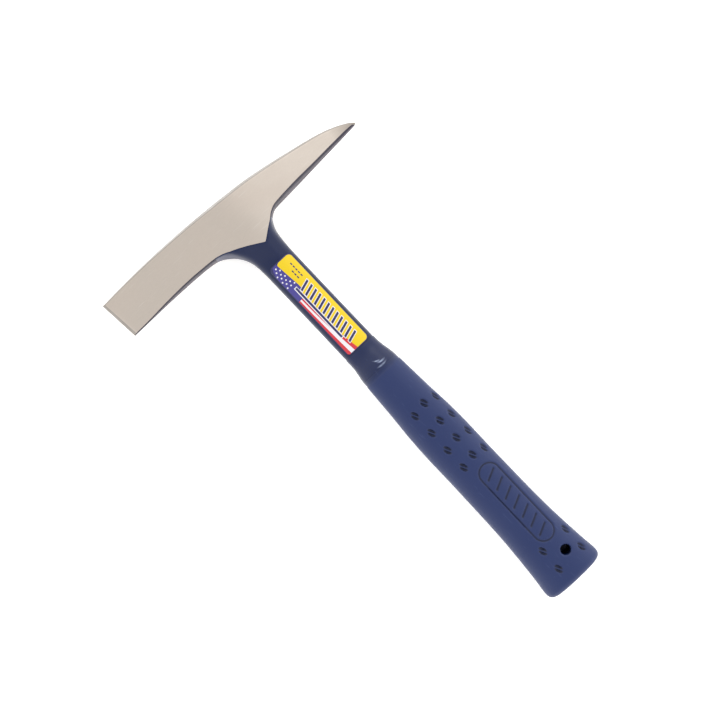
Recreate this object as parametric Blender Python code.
"""One-piece forged rock hammer: pick, upright chisel edge, enamelled neck and moulded grip.

The hammer lies on its back with the handle along Y: the head is towards +Y, the pick towards +X
and the front label faces +Z. Everything is modelled from the butt, where Y is 0, around the
mid-plane, where Z is 0, and then carried by one empty to the middle of the hammer's footprint.
"""
import math

import bmesh
import bpy
from mathutils import Matrix, Vector

# Whole hammer, in metres
LENGTH = 0.2794
CHISEL_X = -0.0847          # upper corner of the chisel edge
PICK_X = 0.0804             # point of the pick
GAP = 0.0003                # clearance left between touching pieces

# Head. Each row is one place along it: x, top edge, lower edge of the ground cheek, and how far
# the forged underside reaches below the cheek.
HEAD_HALF_THICKNESS = 0.0097
HEAD_RIDGE_X = 0.0021       # where the ground cheeks of both arms meet
EDGE_HALF_THICKNESS = 0.0004
BEVEL_LENGTH = 0.0023       # the chisel's sharpening bevel
BEVEL_HALF_THICKNESS = 0.0012
POINT_HALF_THICKNESS = 0.0009
CHISEL_LEAN = 0.0018        # the chisel edge's foot is this much nearer to the handle
LEAN_LENGTH = 0.030         # and the sections behind it lean less and less up to here
DRAFT = math.radians(12)    # slope of the forged edges, away from the parting line
CHISEL_ARM = (
    (-0.0847, 0.2784, 0.2551, 0.0001),
    (-0.0824, 0.2785, 0.2552, 0.0002),
    (-0.0660, 0.2792, 0.2557, 0.0006),
    (-0.0480, 0.2794, 0.2560, 0.0010),
    (-0.0300, 0.2790, 0.2553, 0.0012),
    (-0.0240, 0.2788, 0.2547, 0.0012),
)
CHISEL_V = (
    (-0.0239, 0.2788, 0.2547, 0.0),
    (-0.0160, 0.2783, 0.2526, 0.0),
    (-0.0080, 0.2778, 0.2490, 0.0),
    (0.0021, 0.2770, 0.2432, 0.0),
)
PICK_V = (
    (0.0021, 0.2770, 0.2432, 0.0),
    (0.0080, 0.2765, 0.2476, 0.0),
    (0.0134, 0.2759, 0.2513, 0.0),
)
PICK_ARM = (
    (0.0135, 0.2759, 0.2514, 0.0007),
    (0.0180, 0.2753, 0.2539, 0.0009),
    (0.0230, 0.2745, 0.2547, 0.0014),
    (0.0340, 0.2725, 0.2557, 0.0017),
    (0.0500, 0.2692, 0.2564, 0.0016),
    (0.0620, 0.2664, 0.2569, 0.0016),
    (0.0700, 0.2636, 0.2572, 0.0014),
    (0.0760, 0.2607, 0.2577, 0.0015),
    (0.0790, 0.2588, 0.2577, 0.0013),
    (0.0804, 0.2576, 0.2572, 0.0004),
)

# Neck. Its sides run up into the root fillets under the arms, and on into the head.
NECK_CHISEL_SIDE = (
    (-0.0300, 0.2541), (-0.0236, 0.2534), (-0.0197, 0.2514), (-0.0162, 0.2484),
    (-0.0131, 0.2444), (-0.0113, 0.2404), (-0.0104, 0.2354), (-0.0100, 0.2270))
NECK_PICK_SIDE = (
    (0.0092, 0.2290), (0.0093, 0.2354), (0.0096, 0.2394), (0.0103, 0.2444),
    (0.0120, 0.2484), (0.0141, 0.2514), (0.0180, 0.2530), (0.0240, 0.2534))
INSIDE_HEAD = ((0.0340, 0.2538), (0.0340, 0.2640), (-0.0400, 0.2640), (-0.0400, 0.2546))
NECK_X = -0.0004
NECK_HALF_WIDTH = 0.0096
NECK_HALF_THICKNESS = 0.0062
NECK_CROWN_RADIUS = 0.022   # front and back of the neck are gently crowned
CROWN_REACH = 0.0125        # half width of the crowned faces, wider than the neck itself
CROWN_STEPS = 8             # facets of the crown on each side of its middle
NECK_ZONE = (0.150, 0.250)  # the crowned faces run from here to there
SHOULDER_Y = 0.1684         # the neck ends here and the tang begins
NECK_BURIED = 0.006         # its outline runs on this far past the shoulder
ROOF_FALL = 0.31            # how fast the ridge under the V sinks into the neck
ROOF_SIDE_FALL = (0.217, 0.323)     # side slopes of that ridge, chisel side and pick side
ROOF_SPAN = (0.220, 0.275)
COAT = 0.0004

# Tang, inside the grip
TANG_END_Y = 0.030
TANG_TOP = (0.0074, 0.0046)     # half width and half thickness at the shoulder
TANG_END = (0.0055, 0.0040)
TANG_CHAMFER = 0.0015
OVERLAP = 0.004             # how far pieces run into each other before they are joined or cut

# Grip
GRIP_POWER = 2.5            # exponent of the oval section
GRIP_STATIONS = (           # distance from the butt, half width, half thickness
    (0.0054, 0.0179, 0.0130),
    (0.0154, 0.01685, 0.0126),
    (0.0394, 0.0151, 0.0122),
    (0.0634, 0.0145, 0.0122),
    (0.1000, 0.0144, 0.0123),
    (0.1174, 0.0138, 0.0117),
    (0.1354, 0.0126, 0.0107),
    (0.1534, 0.0116, 0.0092),
    (0.1594, 0.0106, 0.0081),
    (0.1654, 0.0099, 0.0071),
    (0.1681, 0.0098, 0.0069),
)
BUTT_RADIUS = 0.0035
BUTT_STEPS = 4
HANG_HOLE = (0.0059, 0.0168)
HANG_HOLE_RADIUS = 0.0033
DIMPLE_RADII = (0.0019, 0.0031, 0.0009)
DIMPLE_PITCH = 0.0122
DIMPLE_COLUMNS = (          # x, distance from the butt of the lowest dimple, count
    (-0.0036, 0.0858, 4),
    (0.0046, 0.0876, 4),
    (0.0114, 0.0860, 4),
    (-0.0036, 0.0116, 2),
    (0.0132, 0.0116, 2),
)

# Labels
LABEL_HALF_WIDTH = 0.0074
LABEL_SPAN = (0.1698, 0.2321)
LABEL_THICKNESS = 0.0003
LABEL_CORNER = 0.0022


def clear_scene():
    for obj in list(bpy.data.objects):
        bpy.data.objects.remove(obj, do_unlink=True)


def make_material(name, color, roughness, metallic=0.0):
    material = bpy.data.materials.new(name)
    material.use_nodes = True
    shader = material.node_tree.nodes["Principled BSDF"]
    shader.inputs["Base Color"].default_value = (*color, 1.0)
    shader.inputs["Roughness"].default_value = roughness
    shader.inputs["Metallic"].default_value = metallic
    material.diffuse_color = (*color, 1.0)
    return material


def add_object(name, mesh):
    obj = bpy.data.objects.new(name, mesh)
    bpy.context.scene.collection.objects.link(obj)
    return obj


def smooth_path(points, steps=6):
    """Points along a Catmull-Rom curve through the given ones, ends included."""
    points = [Vector(p) for p in points]
    ends = [2 * points[0] - points[1]] + points + [2 * points[-1] - points[-2]]
    path = []
    for a, b, c, d in zip(ends, ends[1:], ends[2:], ends[3:]):
        for step in range(steps):
            t = step / steps
            path.append(0.5 * (2 * b + (c - a) * t + (2 * a - 5 * b + 4 * c - d) * t * t
                               + (3 * b - a - 3 * c + d) * t ** 3))
    return path + [points[-1]]


def loft(name, sections):
    """A closed solid through rings of points that all have the same count."""
    shape = bmesh.new()
    rings = [[shape.verts.new(point) for point in section] for section in sections]
    for low, high in zip(rings, rings[1:]):
        for i in range(len(low)):
            j = (i + 1) % len(low)
            shape.faces.new((low[i], low[j], high[j], high[i]))
    shape.faces.new(rings[0])
    shape.faces.new(rings[-1])
    bmesh.ops.recalc_face_normals(shape, faces=shape.faces)
    mesh = bpy.data.meshes.new(name)
    shape.to_mesh(mesh)
    shape.free()
    return add_object(name, mesh)


def plate(name, outline, half_height, inset=0.0, draft=0.0):
    """A flat outline in XY made solid from -half_height to half_height.

    With a draft its walls lean inwards on both sides of the mid-plane.
    """
    curve = bpy.data.curves.new(name, "CURVE")
    curve.dimensions = "2D"
    curve.fill_mode = "BOTH"
    lean = half_height * math.tan(draft)
    curve.extrude = 0.0 if draft else half_height
    curve.bevel_depth = lean
    curve.bevel_resolution = 0
    curve.offset = -inset - lean
    spline = curve.splines.new("POLY")
    spline.points.add(len(outline) - 1)
    for point, (x, y) in zip(spline.points, outline):
        point.co = (x, y, 0.0, 1.0)
    spline.use_cyclic_u = True
    guide = add_object(name + "_curve", curve)
    bpy.context.view_layer.update()
    mesh = bpy.data.meshes.new_from_object(guide.evaluated_get(
        bpy.context.evaluated_depsgraph_get()))
    bpy.data.objects.remove(guide)
    shape = bmesh.new()
    shape.from_mesh(mesh)
    bmesh.ops.remove_doubles(shape, verts=shape.verts, dist=1e-6)
    if draft:
        bmesh.ops.scale(shape, vec=(1, 1, half_height / lean), verts=shape.verts)
    bmesh.ops.recalc_face_normals(shape, faces=shape.faces)
    shape.to_mesh(mesh)
    shape.free()
    mesh.name = name
    mesh.materials.clear()
    return add_object(name, mesh)


def combine(base, operation, *tools):
    """Join, cut or intersect base with each tool in turn. The tools are used up."""
    for tool in tools:
        modifier = base.modifiers.new(tool.name, "BOOLEAN")
        modifier.operation = operation
        modifier.object = tool
    bpy.context.view_layer.update()
    mesh = bpy.data.meshes.new_from_object(base.evaluated_get(
        bpy.context.evaluated_depsgraph_get()))
    base.modifiers.clear()
    base.data = mesh
    for tool in tools:
        bpy.data.objects.remove(tool)
    return base


def head():
    """Both arms in one: six-sided sections along X, thickest at the ridge over the neck."""
    arms = (CHISEL_ARM, CHISEL_V, PICK_V, PICK_ARM)
    chisel_reach = HEAD_RIDGE_X - CHISEL_X - BEVEL_LENGTH
    pick_reach = PICK_X - HEAD_RIDGE_X
    sections = []
    for arm in arms:
        for x, top, cheek, drop in smooth_path(arm, 3):
            if x < CHISEL_X + BEVEL_LENGTH:
                share = (x - CHISEL_X) / BEVEL_LENGTH
                half = EDGE_HALF_THICKNESS + share * (BEVEL_HALF_THICKNESS - EDGE_HALF_THICKNESS)
            else:
                reach, end = (chisel_reach, BEVEL_HALF_THICKNESS) if x < HEAD_RIDGE_X \
                    else (pick_reach, POINT_HALF_THICKNESS)
                share = abs(x - HEAD_RIDGE_X) / reach
                half = HEAD_HALF_THICKNESS + share * (end - HEAD_HALF_THICKNESS)
            shoulder = top - half * math.tan(DRAFT)
            lean = CHISEL_LEAN * max(0.0, 1 - (x - CHISEL_X) / LEAN_LENGTH)
            ring = [(cheek - drop, 0.0), (cheek, half), (shoulder, half),
                    (top, 0.0), (shoulder, -half), (cheek, -half)]
            section = [(x + lean * (top - y) / (top - cheek), y, z) for y, z in ring]
            if not sections or section[0][0] > sections[-1][0][0] + 1e-6:
                sections.append(section)
    return loft("head", sections)


def neck_outline():
    """Outline of the neck at the parting line, with its root fillets under both arms."""
    foot_y = SHOULDER_Y - NECK_BURIED
    foot = [(NECK_X - NECK_HALF_WIDTH, foot_y), (NECK_X + NECK_HALF_WIDTH, foot_y)]
    outline = smooth_path(NECK_CHISEL_SIDE, 4) + foot + smooth_path(NECK_PICK_SIDE, 4)
    return [tuple(p) for p in outline] + list(INSIDE_HEAD)


def crowned_bar(inset, y_low, y_high):
    """Bar with the neck's gently crowned front and back."""
    radius = NECK_CROWN_RADIUS - inset
    sink = NECK_CROWN_RADIUS - NECK_HALF_THICKNESS
    front = []
    for step in range(-CROWN_STEPS, CROWN_STEPS + 1):
        x = CROWN_REACH * step / CROWN_STEPS
        front.append((NECK_X + x, math.sqrt(radius ** 2 - x ** 2) - sink))
    ring = front + [(x, -z) for x, z in reversed(front)]
    return loft("crowned_bar", [[(x, y, z) for x, z in ring] for y in (y_low, y_high)])


def roof(inset):
    """The ridge that rises from the neck to the V between the cheeks, front and back."""
    v_point = CHISEL_V[-1][2]
    sections = []
    for y in ROOF_SPAN:
        height = HEAD_HALF_THICKNESS - inset + ROOF_FALL * (y - v_point)
        left, right = (height / fall for fall in ROOF_SIDE_FALL)
        sections.append([
            (HEAD_RIDGE_X - left, y, 0.0), (HEAD_RIDGE_X, y, height),
            (HEAD_RIDGE_X + right, y, 0.0), (HEAD_RIDGE_X, y, -height)])
    return loft("roof", sections)


def neck_zone(rise, inset=0.0):
    """Everything under the V of the cheeks and above the neck's shoulder."""
    v_edge = [(x, cheek + rise) for x, _, cheek, _ in
              smooth_path(CHISEL_V, 3) + smooth_path(PICK_V, 3)[1:]]
    foot = [(v_edge[-1][0], SHOULDER_Y), (v_edge[0][0], SHOULDER_Y)]
    return plate("neck_zone", v_edge + foot, 2 * HEAD_HALF_THICKNESS, inset)


def neck(name, inset=0.0):
    """The neck as forged, or the same shape that much further in."""
    body = plate(name, neck_outline(), HEAD_HALF_THICKNESS + GAP, inset, DRAFT)
    faces = combine(crowned_bar(inset, *NECK_ZONE), "UNION", roof(inset))
    return combine(body, "INTERSECT", faces)


def tang(grow=0.0):
    """Tapered tongue that the grip is moulded on."""
    sections = []
    for y, (width, depth) in ((SHOULDER_Y + OVERLAP, TANG_TOP), (TANG_END_Y - grow, TANG_END)):
        w, d, cut = width + grow, depth + grow, TANG_CHAMFER
        corners = ((w, d - cut), (w - cut, d), (cut - w, d), (-w, d - cut),
                   (-w, cut - d), (cut - w, -d), (w - cut, -d), (w, cut - d))
        sections.append([(NECK_X + x, y, z) for x, z in corners])
    return loft("tang", sections)


def steel_forging():
    core = combine(neck("neck_core", COAT + GAP), "INTERSECT", neck_zone(OVERLAP / 4))
    forging = combine(head(), "UNION", core, tang())
    forging.name = "steel_forging"
    forging.data.materials.append(make_material("polished_steel", (0.60, 0.56, 0.52), 0.3, 1.0))
    return forging


def neck_coating():
    coating = combine(neck("neck_coating"), "INTERSECT", neck_zone(0.0, GAP))
    combine(coating, "DIFFERENCE", neck("coat_inside", COAT))
    coating.data.materials.append(make_material("blue_enamel", (0.030, 0.042, 0.105), 0.3))
    return coating


def grip_stations():
    """Distance from the butt, half width and half thickness, from the butt to the collar."""
    _, width, depth = GRIP_STATIONS[0]
    butt = []
    for step in range(BUTT_STEPS + 1):
        turn = math.radians(90) * step / BUTT_STEPS
        back = BUTT_RADIUS * (1 - math.sin(turn))
        butt.append((BUTT_RADIUS * (1 - math.cos(turn)), width - back, depth - back))
    return butt + [tuple(p) for p in smooth_path(GRIP_STATIONS, 3)]


def oval(y, width, depth, count=48):
    """One ring of the grip: a rounded oval across the handle."""
    ring = []
    for step in range(count):
        turn = 2 * math.pi * step / count
        x, z = (math.copysign(abs(side) ** (2 / GRIP_POWER), side)
                for side in (math.cos(turn), math.sin(turn)))
        ring.append((width * x, y, depth * z))
    return ring


def grip_front(x, y):
    """Point of the grip's front above x and y."""
    stations = grip_stations()
    for (y0, w0, d0), (y1, w1, d1) in zip(stations, stations[1:]):
        if y0 <= y <= y1:
            share = (y - y0) / (y1 - y0)
            width, depth = w0 + (w1 - w0) * share, d0 + (d1 - d0) * share
    rise = (1 - (abs(x) / width) ** GRIP_POWER) ** (1 / GRIP_POWER)
    return Vector((x, y, depth * rise))


def dimple_cutter():
    """Shallow oval dimples in columns on the pick side, the same front and back."""
    shape = bmesh.new()
    for x, y_low, count in DIMPLE_COLUMNS:
        for row in range(count):
            y = y_low + row * DIMPLE_PITCH
            seat = grip_front(x, y)
            across = (grip_front(x + GAP, y) - seat).normalized()
            along = (grip_front(x, y + GAP) - seat).normalized()
            outward = across.cross(along)
            turn = Matrix((across, along, outward)).transposed().to_4x4()
            place = Matrix.Translation(seat) @ turn @ Matrix.Diagonal((*DIMPLE_RADII, 1))
            for side in (1, -1):
                flip = Matrix.Diagonal((1, 1, side, 1))
                bmesh.ops.create_uvsphere(
                    shape, u_segments=12, v_segments=6, radius=1.0, matrix=flip @ place)
    bmesh.ops.recalc_face_normals(shape, faces=shape.faces)
    mesh = bpy.data.meshes.new("dimple_cutter")
    shape.to_mesh(mesh)
    shape.free()
    return add_object("dimple_cutter", mesh)


def hang_hole_cutter():
    x, y = HANG_HOLE
    bpy.ops.mesh.primitive_cylinder_add(
        vertices=32, radius=HANG_HOLE_RADIUS, depth=4 * GRIP_STATIONS[0][2], location=(x, y, 0))
    return bpy.context.active_object


def grip():
    body = loft("grip", [oval(*station) for station in grip_stations()])
    combine(body, "DIFFERENCE", tang(GAP), hang_hole_cutter(), dimple_cutter())
    body.data.materials.append(make_material("blue_grip", (0.050, 0.060, 0.170), 0.55))
    return body


def rounded_outline(x0, x1, y0, y1, radius, steps=5):
    corners = ((x1, y1, 0), (x0, y1, 90), (x0, y0, 180), (x1, y0, 270))
    outline = []
    for x, y, start in corners:
        center = (x - math.copysign(radius, x - (x0 + x1) / 2),
                  y - math.copysign(radius, y - (y0 + y1) / 2))
        for step in range(steps + 1):
            turn = math.radians(start + 90 * step / steps)
            outline.append((center[0] + radius * math.cos(turn),
                            center[1] + radius * math.sin(turn)))
    return outline


def label(name, side, color):
    """A sticker that lies on the crowned front (side 1) or back (side -1) of the neck."""
    y_low, y_high = LABEL_SPAN
    sheet = crowned_bar(-GAP - LABEL_THICKNESS, y_low - OVERLAP, y_high + OVERLAP)
    sheet.name = name
    combine(sheet, "DIFFERENCE", crowned_bar(-GAP, y_low - 2 * OVERLAP, y_high + 2 * OVERLAP))
    cut = plate("label_cut", rounded_outline(
        NECK_X - LABEL_HALF_WIDTH, NECK_X + LABEL_HALF_WIDTH, y_low, y_high, LABEL_CORNER),
        HEAD_HALF_THICKNESS)
    cut.location.z = (HEAD_HALF_THICKNESS + GAP) * side
    combine(sheet, "INTERSECT", cut)
    sheet.data.materials.append(make_material(name, color, 0.35))
    return sheet


def build():
    clear_scene()
    parts = [
        steel_forging(),
        neck_coating(),
        grip(),
        label("front_label", 1, (0.95, 0.72, 0.01)),
        label("rear_label", -1, (0.75, 0.76, 0.78)),
    ]
    frame = bpy.data.objects.new("hammer_frame", None)
    frame.location = (-(CHISEL_X + PICK_X) / 2, -LENGTH / 2, GRIP_STATIONS[0][2])
    collection = bpy.data.collections.new("rock_hammer")
    bpy.context.scene.collection.children.link(collection)
    collection.objects.link(frame)
    for part in parts:
        bpy.context.scene.collection.objects.unlink(part)
        collection.objects.link(part)
        part.parent = frame
        part.data.shade_smooth()
        part.data.set_sharp_from_angle(angle=math.radians(30))


build()
